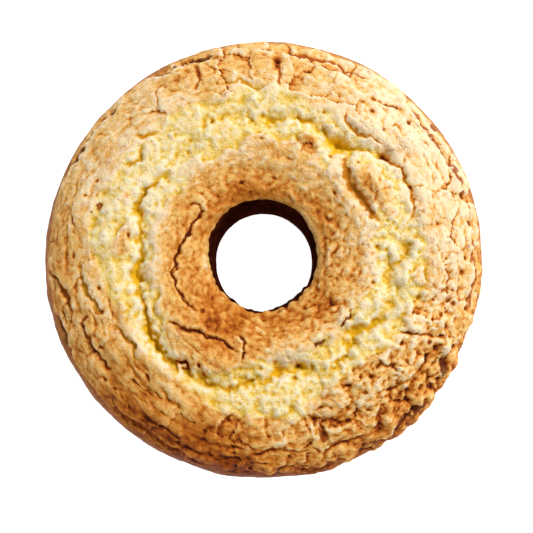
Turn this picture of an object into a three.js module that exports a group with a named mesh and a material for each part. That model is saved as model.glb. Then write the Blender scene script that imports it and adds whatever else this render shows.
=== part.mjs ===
// A ring cake, baked as one piece in a ring tin: flat base, sides that lean out a little, a domed
// crown that has burst open in a ring-shaped crevice, a brown collar inside that crevice, and a
// straight hole where the tin's tube stood. Millimetres, +Z up, origin at the middle of the base.
import * as THREE from "three";
import { ImprovedNoise } from "three/addons/math/ImprovedNoise.js";
import { mergeVertices } from "three/addons/utils/BufferGeometryUtils.js";

// Driving dimensions
const OUTER_RADIUS = 119; // widest point of the side
const BASE_RADIUS = 110; // flat base and its rounded corner
const HOLE_RADIUS = 28.6; // wall left by the tin's tube
const CROWN_HEIGHT = 63; // top of the crust plates, before the lumps are added
const WIDEST_HEIGHT = 38; // height at which the side is widest
const BASE_CORNER = 8; // radius of the outer bottom corner
const HOLE_CORNER = 2.5; // radius of the inner bottom corner

// Fineness of the mesh
const RING_SEGMENTS = 104;
const SIDE_AND_CROWN_STEPS = 36;
const CORNER_STEPS = 4;

// The crevice: how far from the axis it runs, at even steps of angle from +X towards +Y.
const CREVICE_RADII = [74, 80, 73, 70, 71, 69, 67, 70, 72, 66, 68, 68];
const CREVICE_DEPTH = 5.5;
const CREVICE_HALF_WIDTH = 6.5;

// The crease where the crown's crust meets the crust of the side
const CREASE_RADIUS = 111;
const CREASE_DEPTH = 1.6;
const CREASE_HALF_WIDTH = 2.4;

// Lumps of the risen batter: [height, length across] of each size of lump
const LUMPS = [
  [2.6, 34],
  [1.4, 15],
];
const LUMPS_START_HEIGHT = 14; // the tin keeps the cake smooth below this

const CRUST = new THREE.MeshStandardMaterial({ color: 0xd9a25a, roughness: 0.82, metalness: 0 });

// The section through one side of the ring, as [distance from the axis, height], closed on itself.
function sectionPoints() {
  const base = new THREE.Path();
  base.absarc(BASE_RADIUS - BASE_CORNER, BASE_CORNER, BASE_CORNER, -Math.PI / 2, -0.2, false);

  const side = new THREE.SplineCurve([
    new THREE.Vector2(BASE_RADIUS + 0.9, BASE_CORNER + 2.5),
    new THREE.Vector2(BASE_RADIUS + 4.4, BASE_CORNER + 13),
    new THREE.Vector2(OUTER_RADIUS - 1.3, WIDEST_HEIGHT - 7.5),
    new THREE.Vector2(OUTER_RADIUS, WIDEST_HEIGHT),
    new THREE.Vector2(OUTER_RADIUS - 2.2, WIDEST_HEIGHT + 8.5),
    new THREE.Vector2(CREASE_RADIUS, WIDEST_HEIGHT + 14.5),
    new THREE.Vector2(98, CROWN_HEIGHT - 4.5),
    new THREE.Vector2(82, CROWN_HEIGHT),
    new THREE.Vector2(66, CROWN_HEIGHT),
    new THREE.Vector2(54, CROWN_HEIGHT - 0.5),
    new THREE.Vector2(43, CROWN_HEIGHT - 4),
    new THREE.Vector2(34.5, CROWN_HEIGHT - 9),
    new THREE.Vector2(30.2, CROWN_HEIGHT - 13.5),
    new THREE.Vector2(HOLE_RADIUS, CROWN_HEIGHT - 20),
  ]);

  const hole = new THREE.Path();
  hole.moveTo(HOLE_RADIUS, CROWN_HEIGHT - 32);
  hole.lineTo(HOLE_RADIUS, 14);
  hole.absarc(HOLE_RADIUS + HOLE_CORNER, HOLE_CORNER, HOLE_CORNER, Math.PI, 1.5 * Math.PI, false);

  const points = [
    ...base.getPoints(CORNER_STEPS),
    ...side.getSpacedPoints(SIDE_AND_CROWN_STEPS),
    ...hole.getPoints(CORNER_STEPS - 1),
  ];
  points.push(points[0].clone());
  return points;
}

// Distance of the crevice from the axis at an angle, joined smoothly from the listed radii.
function creviceRadius(angle) {
  const count = CREVICE_RADII.length;
  const turn = THREE.MathUtils.euclideanModulo(angle / (2 * Math.PI), 1) * count;
  const at = (step) => CREVICE_RADII[(Math.floor(turn) + step + count) % count];
  return THREE.MathUtils.lerp(at(0), at(1), THREE.MathUtils.smoothstep(turn % 1, 0, 1));
}

// A rounded groove: full depth at its middle, nothing beyond about twice its half width.
function groove(offset, halfWidth, depth) {
  return -depth * Math.exp(-((offset / halfWidth) ** 2));
}

// How far the surface stands out from the smooth section at a point, along its normal.
function relief(point, noise) {
  const radius = Math.hypot(point.x, point.y);
  const angle = Math.atan2(point.y, point.x);
  const onCrown = THREE.MathUtils.smoothstep(point.z, WIDEST_HEIGHT + 4, WIDEST_HEIGHT + 14);
  const aboveTin = THREE.MathUtils.smoothstep(point.z, LUMPS_START_HEIGHT, WIDEST_HEIGHT);
  const outsideHole = THREE.MathUtils.smoothstep(radius, HOLE_RADIUS, HOLE_RADIUS + 10);

  let height = 0;
  for (const [size, across] of LUMPS) {
    height += size * noise.noise(point.x / across, point.y / across, point.z / across);
  }
  height *= aboveTin * outsideHole * THREE.MathUtils.lerp(0.35, 1, onCrown);
  height += onCrown * groove(radius - creviceRadius(angle), CREVICE_HALF_WIDTH, CREVICE_DEPTH);
  height += onCrown * groove(radius - CREASE_RADIUS, CREASE_HALF_WIDTH, CREASE_DEPTH);
  return height;
}

// Turns the section about the axis, then moves each point out or in by the relief.
function ringCakeGeometry() {
  const turned = new THREE.LatheGeometry(sectionPoints(), RING_SEGMENTS);
  turned.rotateX(Math.PI / 2);
  const noise = new ImprovedNoise();
  const position = turned.getAttribute("position");
  const normal = turned.getAttribute("normal");
  const point = new THREE.Vector3();
  const outward = new THREE.Vector3();
  for (let i = 0; i < position.count; i++) {
    point.fromBufferAttribute(position, i);
    outward.fromBufferAttribute(normal, i);
    point.addScaledVector(outward, relief(point, noise));
    position.setXYZ(i, point.x, point.y, point.z);
  }
  turned.deleteAttribute("normal");
  turned.deleteAttribute("uv");
  const closed = mergeVertices(turned, 1e-3);
  // The origin is the middle of the footprint, so the lumps' small offset is taken out.
  closed.computeBoundingBox();
  const middle = closed.boundingBox.getCenter(new THREE.Vector3());
  closed.translate(-middle.x, -middle.y, 0);
  closed.computeVertexNormals();
  return closed;
}

const cake = new THREE.Group();
const ring = new THREE.Mesh(ringCakeGeometry(), CRUST);
ring.name = "ring_cake";
cake.add(ring);

export default cake;
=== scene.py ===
"""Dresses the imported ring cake: its torn crown, open crumb, browned crust and a plain studio.

The shape is worked out in millimetres and in degrees anticlockwise from +X, seen from above.
The finished mesh is in metres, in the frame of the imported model.
"""

import itertools
import logging
import math
from dataclasses import dataclass, field
from enum import Enum

import bpy
import numpy as np
from mathutils import Matrix, Vector


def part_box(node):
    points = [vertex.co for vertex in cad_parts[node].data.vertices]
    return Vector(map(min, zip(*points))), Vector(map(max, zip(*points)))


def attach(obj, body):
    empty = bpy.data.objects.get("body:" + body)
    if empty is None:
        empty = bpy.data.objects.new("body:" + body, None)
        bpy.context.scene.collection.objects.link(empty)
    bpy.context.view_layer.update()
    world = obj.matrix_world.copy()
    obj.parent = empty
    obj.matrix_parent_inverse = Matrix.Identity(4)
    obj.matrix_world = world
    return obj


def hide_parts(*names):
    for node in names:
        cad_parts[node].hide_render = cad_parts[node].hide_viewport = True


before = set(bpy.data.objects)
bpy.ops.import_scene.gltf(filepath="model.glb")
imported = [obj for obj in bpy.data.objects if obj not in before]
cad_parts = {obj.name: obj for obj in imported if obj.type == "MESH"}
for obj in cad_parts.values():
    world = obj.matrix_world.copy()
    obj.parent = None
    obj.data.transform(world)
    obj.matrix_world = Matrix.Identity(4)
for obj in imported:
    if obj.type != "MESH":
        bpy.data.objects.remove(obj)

LOG = logging.getLogger("ring_cake")
MM = 0.001
DIP_TURNS = {"dip": 5, "hollow": 36}  # how many times the skin is evened out to tell each
NODE = "ring_cake"
BODY = "root"

Stop = tuple[float, float]  # degrees around the cake, and a value there or mm from the axis


def linear(hex_colour: str) -> tuple[float, float, float, float]:
    """Turns an sRGB hex colour into the linear colour that a shader socket takes.

    Args:
        hex_colour: Six hex digits after a hash sign.

    Returns:
        Linear red, green, blue and an alpha of 1.
    """
    parts = [int(hex_colour[i : i + 2], 16) / 255 for i in (1, 3, 5)]
    straight = [c / 12.92 if c <= 0.04045 else ((c + 0.055) / 1.055) ** 2.4 for c in parts]
    return (*straight, 1.0)


def add_node(
    tree: bpy.types.NodeTree, kind: str, inputs: dict | None = None, **settings: object
) -> bpy.types.Node:
    """Adds one node to a tree, with its settings and links.

    Args:
        tree: The shader or geometry tree.
        kind: The node's Blender type; "ShaderNode" in front of it may be left out.
        inputs: Socket name or number to a value, or to the socket or node that feeds it. A node
            feeds with its first output in use.
        settings: The node's own properties.

    Returns:
        The new node.
    """
    node = tree.nodes.new(kind if "Node" in kind else "ShaderNode" + kind)
    for name, value in settings.items():
        setattr(node, name, value)
    for key, value in (inputs or {}).items():
        if isinstance(value, bpy.types.Node):
            value = next(socket for socket in value.outputs if socket.enabled)
        if isinstance(value, bpy.types.NodeSocket):
            tree.links.new(value, node.inputs[key])
        else:
            node.inputs[key].default_value = value
    return node


def smooth(values: np.ndarray, low: float, high: float) -> np.ndarray:
    """Eases from 0 at low to 1 at high, with low above high for a falling edge.

    Args:
        values: The values to ease.
        low: Where the result is 0.
        high: Where the result is 1.

    Returns:
        The eased values.
    """
    share = np.clip((values - low) / (high - low), 0, 1)
    return share * share * (3 - 2 * share)


class Grain:
    """Random fields with a fixed seed, worked out for whole arrays of points in millimetres."""

    def __init__(self, seed: int) -> None:
        """Draws the directions and offsets that the fields are made of.

        Args:
            seed: The fixed seed of every draw.
        """
        random = np.random.default_rng(seed)
        order = random.permutation(256)
        self._order = np.concatenate([order, order])
        directions = random.normal(size=(256, 3))
        self._directions = directions / np.linalg.norm(directions, axis=1, keepdims=True)
        self._centres = random.random((256, 3))

    def _pick(self, cell: np.ndarray) -> np.ndarray:
        """Gives each grid cell its own number.

        Args:
            cell: Rows of whole numbers along x, y and z.

        Returns:
            One whole number a row, from 0 to 255.
        """
        wrapped = cell & 255
        first = self._order[wrapped[:, 0]] + wrapped[:, 1]
        return self._order[self._order[first] + wrapped[:, 2]]

    def swell(self, points: np.ndarray, spacing: float, layers: int = 1) -> np.ndarray:
        """Gives smooth swells and hollows, with finer ones laid over them.

        Args:
            points: Points as rows of x, y, z.
            spacing: Distance between swells.
            layers: How many times the field is laid over itself at half the size.

        Returns:
            One value a point, about -1 to 1.
        """
        total = np.zeros(len(points))
        strength = 1.0
        for layer in range(layers):
            grid = points * (2**layer / spacing) + 17.3 * layer
            cell = np.floor(grid).astype(int)
            part = grid - cell
            ease = part**3 * (part * (part * 6 - 15) + 10)
            for corner in itertools.product((0, 1), repeat=3):
                step = np.array(corner)
                pull = self._directions[self._pick(cell + step)]
                weight = np.prod(np.where(step, ease, 1 - ease), axis=1)
                total += strength * 1.5 * weight * np.sum((part - step) * pull, axis=1)
            strength *= 0.5
        return total

    def plates(self, points: np.ndarray, spacing: float) -> tuple[np.ndarray, ...]:
        """Shares points out among many scattered centres, as a crust breaks into plates.

        Args:
            points: Points as rows of x, y, z.
            spacing: Usual distance between centres.

        Returns:
            For each point the distance to its centre (0 to about 0.6), how much further the next
            centre is (0 on the line between two plates), its plate's own number from 0 to 1, and
            how high it lies on its tilted plate (about -0.5 to 0.5).
        """
        grid = points / spacing
        cell = np.floor(grid).astype(int)
        nearest, second = np.full(len(points), 9.0), np.full(len(points), 9.0)
        number, tilt = np.zeros(len(points)), np.zeros(len(points))
        for offset in itertools.product((-1, 0, 1), repeat=3):
            other = cell + np.array(offset)
            pick = self._pick(other)
            reach = grid - other - self._centres[pick]
            away = np.linalg.norm(reach, axis=1)
            closer = away < nearest
            second = np.where(closer, nearest, np.minimum(second, away))
            number = np.where(closer, self._centres[pick, 0], number)
            tilt = np.where(closer, np.sum(reach * self._directions[pick], axis=1), tilt)
            nearest = np.where(closer, away, nearest)
        return nearest, second - nearest, number, tilt

    def mounds(self, points: np.ndarray, spacing: float) -> np.ndarray:
        """Gives rounded mounds with sharp creases between them, about 0.8 on top and -0.6 between."""
        return 4.0 * (0.2 - self.plates(points, spacing)[0] ** 2)

    def puffs(self, points: np.ndarray, spacing: float, layers: int = 2) -> np.ndarray:
        """Gives soft puffs that meet in thin wandering creases, about 0.6 on top and -0.4 between."""
        return 1.6 * np.abs(self.swell(points, spacing, layers)) - 0.4


@dataclass(frozen=True)
class AroundLine:
    """A value that changes around the cake, read between stops of degrees and value."""

    stops: tuple[Stop, ...]

    def at(self, angle: np.ndarray) -> np.ndarray:
        """Reads the value at angles in degrees, joined smoothly and closed on itself."""
        degrees, values = zip(*self.stops)
        return np.interp(angle % 360, degrees, values, period=360)


class Tear(Enum):
    """What a crack opens into: how dark its inside is painted, as painted shade that is partly the crack's
    own brown, and how far its edge curls up in mm.
    """

    HAIRLINE = (0.45, 0.0)
    GOLDEN = (0.34, 0.35)
    AMBER = (0.43, 0.3)
    BROWN_SHADE = (0.6, 0.3)
    DARK_SHADE = (0.9, 0.5)


@dataclass(frozen=True)
class Crack:
    """One crack along stops of degrees and millimetres from the axis."""

    kind: Tear
    width: float
    depth: float
    path: tuple[Stop, ...]

    def points(self) -> np.ndarray:
        """Gives the stops as x, y in mm."""
        turn, away = np.array(self.path).T * np.array([[math.pi / 180], [1]])
        return np.stack([away * np.cos(turn), away * np.sin(turn)], axis=1)

    def nearest(self, plan: np.ndarray) -> tuple[np.ndarray, ...]:
        """Finds the nearest place on the crack's line for each point.

        Args:
            plan: Rows of x, y in mm.

        Returns:
            How far off that place is in mm, the side of the line that the point lies on (-1 or 1),
            and how far along the crack the place is, 0 to 1.
        """
        stops = self.points()
        away = np.full(len(plan), 1e9)
        side, along = np.ones(len(plan)), np.zeros(len(plan))
        for k, (start, step) in enumerate(zip(stops, np.diff(stops, axis=0))):
            offset = plan - start
            share = np.clip(offset @ step / (step @ step), 0, 1)
            reach = np.linalg.norm(offset - share[:, None] * step, axis=1)
            closer = reach < away
            away = np.where(closer, reach, away)
            turn = step[0] * offset[:, 1] - step[1] * offset[:, 0]
            side = np.where(closer, np.where(turn < 0, -1.0, 1.0), side)
            along = np.where(closer, (k + share) / (len(stops) - 1), along)
        return away, side, along


@dataclass(frozen=True)
class Patch:
    """A soft-edged patch: where it is, how far it reaches in and along, and how strong it is."""

    angle: float
    radius: float
    reach: float
    along: float
    amount: float

    def at(self, angle: np.ndarray, radius: np.ndarray) -> np.ndarray:
        """Gives the patch's strength.

        Args:
            angle: Angles in degrees.
            radius: Distances from the middle in mm.

        Returns:
            One value for each pair, the whole amount in the patch's middle.
        """
        turn = (angle - self.angle + 180) % 360 - 180
        sideways = np.radians(turn) * self.radius / self.along
        return self.amount * np.exp(-(sideways**2) - ((radius - self.radius) / self.reach) ** 2)


def patches(*rows: tuple[float, ...]) -> tuple[Patch, ...]:
    """Makes patches from rows of angle, radius, reach inwards, reach along and amount."""
    return tuple(Patch(*row) for row in rows)


# Where the batter burst: the ring-shaped crevice, as its radius, half width and depth in mm.
CREVICE_RADIUS = AroundLine((
    (0, 74), (12, 79), (20, 85), (30, 86), (38, 84), (47, 76), (55, 70), (65, 72), (79, 76),
    (86, 71), (93, 69), (101, 76), (111, 76), (120, 69), (138, 68.5), (150, 68.5), (158, 72),
    (163, 68), (170, 65.5), (181, 62.5), (188, 68), (200, 67), (208, 68), (215, 72), (224, 73),
    (240, 72), (255, 72), (262, 66), (270, 67), (276, 61), (287, 63), (297, 68), (303, 70),
    (309, 67), (318, 62), (327, 68), (337, 72), (345, 69), (353, 67),
))
CREVICE_WIDTH = AroundLine((
    (0, 4), (20, 3), (35, 3.5), (56, 5.5), (66, 3.5), (92, 4), (110, 3.5), (140, 3), (155, 2.6),
    (168, 3), (181, 3), (200, 2.4), (220, 2.2), (245, 2.8), (270, 3.5), (287, 4.5), (300, 3),
    (320, 4), (345, 4.5),
))
CREVICE_DEPTH = AroundLine((
    (0, 3), (14, 1.6), (25, 1.2), (33, 1.2), (40, 4.5), (46, 2.5), (50, 4.5), (56, 8), (62, 4), (68, 2.5),
    (74, 3.5), (80, 2.2), (86, 4), (92, 3.5), (98, 2), (110, 2.5), (120, 1.8), (135, 2.5), (150, 3.5),
    (160, 5), (181, 6), (200, 5.5), (220, 5.5), (245, 4.5), (270, 4.5), (287, 5.5), (300, 3),
    (315, 5), (335, 3.5), (345, 4),
))

# The brown collar's outer edge, and the outer edge of the open crumb.
COLLAR_EDGE = AroundLine((
    (0, 58), (15, 60), (30, 72), (42, 70), (50, 61), (75, 61), (95, 62), (130, 59), (150, 61),
    (165, 60), (180, 58.5), (215, 62), (224, 66), (236, 69), (250, 66), (258, 57), (275, 55),
    (300, 55), (326, 55), (335, 58), (345, 58),
))
CRUMB_EDGE = AroundLine((
    (0, 82), (15, 80), (30, 84), (40, 84), (52, 83), (70, 81), (85, 90), (95, 90), (104, 86),
    (120, 90), (138, 87), (150, 88), (160, 92), (175, 90), (190, 84), (205, 80), (220, 79),
    (240, 79), (256, 83), (270, 84), (290, 82), (310, 76), (325, 80), (345, 86),
))

CRACKS = tuple(Crack(*row) for row in (
    # deep splits in the crust to the east
    (Tear.AMBER, 1.9, 3.2, ((49, 67), (47, 64), (43, 60), (38, 58), (28, 59.5), (20, 60), (16, 63))),
    (Tear.AMBER, 0.9, 2.4, ((42, 82), (36, 83), (32, 86), (23, 85), (15, 82))),
    (Tear.AMBER, 0.9, 2.0, ((60, 85), (56, 83), (52, 81), (48, 84), (43, 86))),
    # splits at the north
    (Tear.BROWN_SHADE, 0.5, 0.9, ((86, 104), (85, 98), (84.5, 91))),
    (Tear.GOLDEN, 0.8, 1.2, ((88, 90), (92, 88), (95, 91), (98, 94.5), (101, 93), (106, 93.5))),
    (Tear.BROWN_SHADE, 0.5, 0.9, ((109.5, 108), (110, 99), (112, 95))),
    (Tear.HAIRLINE, 0.4, 0.6, ((121.5, 109), (123, 105), (124, 101), (125.5, 96))),
    (Tear.GOLDEN, 0.9, 1.6, ((137, 93), (136, 90), (131, 86))),
    (Tear.GOLDEN, 0.9, 1.6, ((138, 88), (142.5, 82), (147, 88))),
    # plates at the west and south-west
    (Tear.HAIRLINE, 0.5, 0.8, ((158, 107.5), (163, 104.5))),
    (Tear.BROWN_SHADE, 0.5, 1.0, ((168, 104), (172, 100))),
    (Tear.BROWN_SHADE, 0.7, 2.0, ((183.5, 116), (187, 110), (192, 106), (197, 105))),
    (Tear.BROWN_SHADE, 0.6, 1.8, ((199.5, 96.5), (201, 102), (204, 100.5), (209, 101.5), (217, 100.5))),
    (Tear.GOLDEN, 0.8, 1.6, ((183, 97), (193, 94), (199, 90.5), (200, 89))),
    (Tear.GOLDEN, 0.7, 1.4, ((206, 85), (213, 83), (216, 81.5), (219.5, 86))),
    (Tear.HAIRLINE, 0.5, 0.8, ((216, 88), (224, 91), (232, 91))),
    (Tear.HAIRLINE, 0.5, 0.8, ((232, 86), (237, 89), (242, 89))),
    # short ones at the south
    (Tear.BROWN_SHADE, 0.6, 1.0, ((260, 96), (268, 100.5))),
    (Tear.BROWN_SHADE, 0.5, 1.0, ((256.5, 92), (257, 89), (259, 84))),
    (Tear.HAIRLINE, 0.5, 0.8, ((271, 90), (271, 85))),
    (Tear.BROWN_SHADE, 0.5, 0.9, ((276.5, 95), (276, 92))),
    (Tear.BROWN_SHADE, 0.6, 1.2, ((286, 109), (288, 106), (291, 105), (302, 108))),
    (Tear.BROWN_SHADE, 0.8, 1.6, ((303, 108), (306.5, 101), (308, 104))),
    (Tear.HAIRLINE, 0.6, 1.0, ((316, 99), (325, 102))),
    # the collar's own cracks
    (Tear.DARK_SHADE, 0.34, 1.6, (
        (146, 47), (140, 43), (143.5, 40.5), (150, 39.8), (155.5, 40.8), (166, 41.3), (171.5, 42.7),
        (179, 45), (187, 46), (193, 48.5), (202, 48), (210, 48), (221, 45.3),
    )),
    (Tear.DARK_SHADE, 0.38, 1.8, (
        (215.5, 60), (222, 57.5), (228, 54), (231, 52), (236, 52), (241, 50), (248, 50.5), (254, 53),
    )),
    (Tear.DARK_SHADE, 0.36, 1.6, ((258.5, 57), (258.5, 48), (256, 44.5), (255, 43))),
    (Tear.BROWN_SHADE, 0.4, 0.5, ((358, 45), (365, 45))),
    (Tear.BROWN_SHADE, 0.35, 0.4, ((28, 38), (34, 39.5))),
    (Tear.BROWN_SHADE, 0.35, 0.4, ((344, 42.5), (351, 42.5))),
    (Tear.BROWN_SHADE, 0.4, 0.5, ((319, 48), (326, 48))),
    (Tear.DARK_SHADE, 0.8, 1.6, ((299, 55), (306, 55))),
    (Tear.DARK_SHADE, 0.8, 1.6, ((316, 55), (326, 55))),
    # the shoulder, where the top crust folds over the crust of the side
    (Tear.DARK_SHADE, 1.6, 2.6, ((104, 113), (110, 115.5), (117, 115), (122, 118))),
    (Tear.DARK_SHADE, 1.5, 2.4, ((135, 115), (143, 115.5), (150, 115), (157, 118))),
    (Tear.DARK_SHADE, 1.3, 2.2, ((196, 115), (201, 114), (208, 116))),
    (Tear.BROWN_SHADE, 1.2, 1.8, ((60, 111), (70, 112.5), (80, 111), (91, 113))),
    (Tear.BROWN_SHADE, 1.0, 1.5, ((20, 113), (32, 112), (45, 113))),
    (Tear.DARK_SHADE, 1.5, 2.4, ((300, 112), (304, 115), (308, 113), (318, 114))),
    (Tear.DARK_SHADE, 1.4, 2.4, ((326, 112), (331, 110), (336, 112))),
    (Tear.BROWN_SHADE, 1.0, 1.6, ((278, 114), (284, 115), (292, 113))),
    (Tear.BROWN_SHADE, 1.0, 1.6, ((225, 113), (240, 111), (256, 113))),
    (Tear.BROWN_SHADE, 1.0, 1.4, ((345, 112), (355, 114), (365, 112))),
))

# Small holes left by burst bubbles: angle, radius, reach inwards, reach along, depth
PITS = patches(
    (163.5, 90, 1.7, 2.1, 2.1), (161.5, 99, 1.2, 1.2, 1.4), (166, 93, 1.0, 1.0, 1.2),
    (156, 96.5, 1.0, 1.0, 1.2), (180, 100, 1.0, 2.4, 1.4), (200, 89, 1.2, 1.2, 1.4),
    (227, 87, 1.2, 1.4, 1.4), (192, 87, 1.2, 1.2, 1.2), (288.3, 99, 2.4, 1.8, 3.2),
    (286.8, 92.5, 1.8, 0.9, 1.2), (306, 88, 1.3, 1.5, 1.4), (323, 92, 1.4, 1.4, 1.4),
    (326.5, 85, 1.3, 1.3, 1.2), (332, 97, 1.4, 1.6, 1.6), (341.5, 98, 1.3, 1.3, 1.4),
    (345.5, 103, 1.3, 1.6, 1.6), (345, 92, 1.2, 1.2, 1.2), (344, 84, 1.2, 1.2, 1.2),
    (349, 102, 1.2, 1.2, 1.2), (355, 106, 1.5, 1.7, 1.6), (359, 108, 1.3, 1.5, 1.4),
    (42.5, 106, 1.6, 1.6, 1.6), (46, 92, 1.4, 1.4, 1.2), (53, 96.5, 1.4, 1.8, 1.4),
    (9, 112, 1.4, 2.0, 1.4), (17, 112, 1.4, 2.4, 1.6), (37.5, 117, 1.8, 2.4, 1.8),
    (67, 82.5, 1.2, 1.2, 1.2), (111, 76, 1.4, 1.4, 1.4), (4, 59.5, 1.2, 1.2, 1.2),
    (91, 61.5, 1.2, 1.4, 1.2), (345.5, 59, 1.2, 1.2, 1.2), (81, 41, 0.8, 1.4, 0.9),
    (106.5, 40, 0.8, 1.2, 0.9), (223, 43, 1.0, 1.3, 1.2), (312, 48, 0.9, 0.9, 0.9),
    (41, 49.5, 0.8, 0.9, 0.9),
)

# Raised lumps and sunk places wider than a pit: angle, radius, reach inwards, reach along, height
LUMPS = patches(
    (38, 97, 5, 7, 1.9), (87, 86.5, 4, 7, 1.6), (67, 68, 3.5, 8, 1.4),
    (150, 71, 3, 6, 1.0), (32, 68, 5, 15, 2.2), (160, 82, 7, 11, 1.6),
    (185, 80, 7, 16, 1.6), (208, 92, 6, 13, 1.8), (232, 60, 5, 15, 1.6),
    (282, 48, 4, 9, 1.0), (240, 96, 6, 26, 1.4), (100, 97, 8, 16, 1.6),
    (133, 78, 5, 9, 1.2), (118, 98, 6, 9, 1.2), (300, 90, 6, 18, 1.4),
    (330, 92, 8, 14, 1.4), (2, 92, 8, 14, 1.4), (60, 97, 8, 20, 1.4),
    (81, 95, 5, 6, -1.8), (322, 43, 3.5, 6, -1.3), (208, 103, 2.2, 9, -1.5),
    (285, 60, 4, 10, -1.4), (38, 84, 3.5, 6, -2.2), (200, 63, 3, 9, -1.2),
    (300, 112, 4, 14, 1.2), (250, 112, 5, 20, 0.6), (86, 105, 5, 2.4, -2.4),
    (109.5, 104, 6, 1.3, -1.4), (190, 39, 5, 15, 0.9), (68, 108.5, 1.8, 14, -1.5),
    (225, 50, 5, 12, 0.9), (30, 52, 6, 16, 0.8),
)

# How wrinkled the collar is
COLLAR_WRINKLES = AroundLine((
    (0, 1.6), (45, 1.25), (90, 0.85), (135, 1.0), (180, 1.0), (225, 1.0), (270, 1.2), (315, 1.25),
))

# How ragged the hole's rim is
RIM_RAGGED = AroundLine((
    (0, 0.8), (90, 0.7), (180, 0.8), (225, 1.2), (265, 1.9), (315, 1.8), (345, 1.0),
))

# How brown the collar is
COLLAR_BAKE = AroundLine((
    (0, 0.30), (45, 0.26), (90, 0.29), (135, 0.39), (180, 0.43), (225, 0.48), (270, 0.50), (315, 0.41),
))

# How much paler the collar gets towards its outer edge
COLLAR_FADE = AroundLine((
    (0, 0.18), (45, 0.20), (70, 0.06), (115, 0.06), (135, 0.24), (165, 0.28), (200, 0.16), (235, 0.05),
    (255, 0.06), (275, 0.20), (300, 0.16), (330, 0.12),
))

# How far the side bulges past a true circle, in mm
OUTLINE = AroundLine((
    (0, 0.0), (30, 1.2), (60, 1.6), (90, 1.1), (115, 0.2), (180, 0.0), (210, -0.6), (250, -0.5),
    (275, 0.2), (300, 1.9), (318, 1.8), (335, 0.2),
))

# How far the hole's rim is pushed outwards, in mm
RIM_LEAN = AroundLine((
    (0, 0.3), (60, 0.4), (120, 0.2), (165, -0.6), (180, -1.0), (205, -0.3), (240, 1.2), (255, 2.4),
    (270, 2.8), (285, 2.6), (300, 3.6), (315, 2.8), (330, 2.4), (345, 1.0),
))

# How brown the outer crust is
OUTER_BAKE = AroundLine((
    (0, 0.45), (30, 0.40), (60, 0.35), (90, 0.38), (120, 0.43), (150, 0.52), (180, 0.56), (210, 0.54),
    (240, 0.52), (270, 0.56), (300, 0.51), (330, 0.45),
))

# Plates inside the open ring that kept their thin golden skin
SKINNED_PATCHES = patches(
    (31, 69, 8, 19, 1.1), (172, 72, 4, 7, 0.6), (158, 78, 5, 6, 0.7),
    (203, 80, 5, 10, 0.7), (176, 75, 5, 9, 0.8), (95, 82, 4, 6, 0.5), (128, 80, 4, 6, 0.5),
    (350, 82, 5, 10, 0.7), (10, 88, 5, 12, 0.6), (305, 80, 5, 8, 0.6),
    (250, 62, 3, 5, 0.6), (93, 62, 3, 5, 0.8), (62, 76, 3, 7, 0.6), (68, 65, 4, 8, 1.0),
)

# How strongly long creases run around the cake
CREASES = AroundLine((
    (0, 1.1), (40, 0.9), (75, 0.5), (110, 0.4), (150, 0.5), (190, 0.8), (230, 1.1), (280, 1.0), (330, 0.7),
))

# How strongly the crust stands up in clods
CLODS = AroundLine((
    (0, 0.85), (30, 0.55), (60, 0.45), (90, 0.45), (120, 0.40), (150, 0.35), (180, 0.35), (210, 0.30),
    (240, 0.35), (265, 0.6), (290, 1.1), (310, 1.35), (330, 1.35), (345, 1.1),
))

# How lumpy the open crumb is
CURDS = AroundLine((
    (0, 1.5), (45, 0.75), (90, 0.9), (135, 0.95), (180, 1.1), (225, 0.65), (270, 1.4), (315, 0.75),
))

# How readily the crust broke apart along seams
SEAMS = AroundLine((
    (0, 1.0), (60, 0.9), (100, 0.9), (140, 0.6), (180, 0.45), (220, 0.3), (260, 0.4), (300, 0.8),
    (330, 1.0),
))

# Places darker (or, with a minus, paler) than the crust around them: mostly browner or paler baking, but the
# rows at the sunk notches at 86 and 109.5 degrees and at 68 degrees, 108.5 mm are painted shade
BAKED_PATCHES = patches(
    (95, 35, 7, 40, 0.18), (240, 42, 7, 14, 0.12), (322, 43, 4, 6, 0.22),
    (50, 44, 9, 26, 0.06), (280, 42, 12, 12, -0.08), (183, 33, 4, 14, -0.10),
    (198, 38, 6, 10, -0.05), (266, 36, 5, 6, -0.12), (300, 92, 14, 30, 0.10),
    (245, 108, 9, 50, 0.30), (280, 112, 7, 50, 0.26), (320, 108, 9, 30, 0.16),
    (30, 104, 16, 55, -0.14), (0, 100, 12, 30, -0.05), (120, 104, 10, 30, 0.02),
    (180, 108, 9, 30, 0.08), (258, 96, 8, 22, 0.14), (88, 56, 4, 12, 0.06),
    (215, 38, 6, 8, 0.05), (260, 50, 5, 6, 0.06), (86, 105, 5, 2.6, 0.34),
    (109.5, 104, 6, 1.5, 0.25), (68, 108.5, 2.2, 14, 0.22), (68, 66, 4, 6, 0.2),
    (33, 67, 6, 15, 0.12),
)


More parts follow.
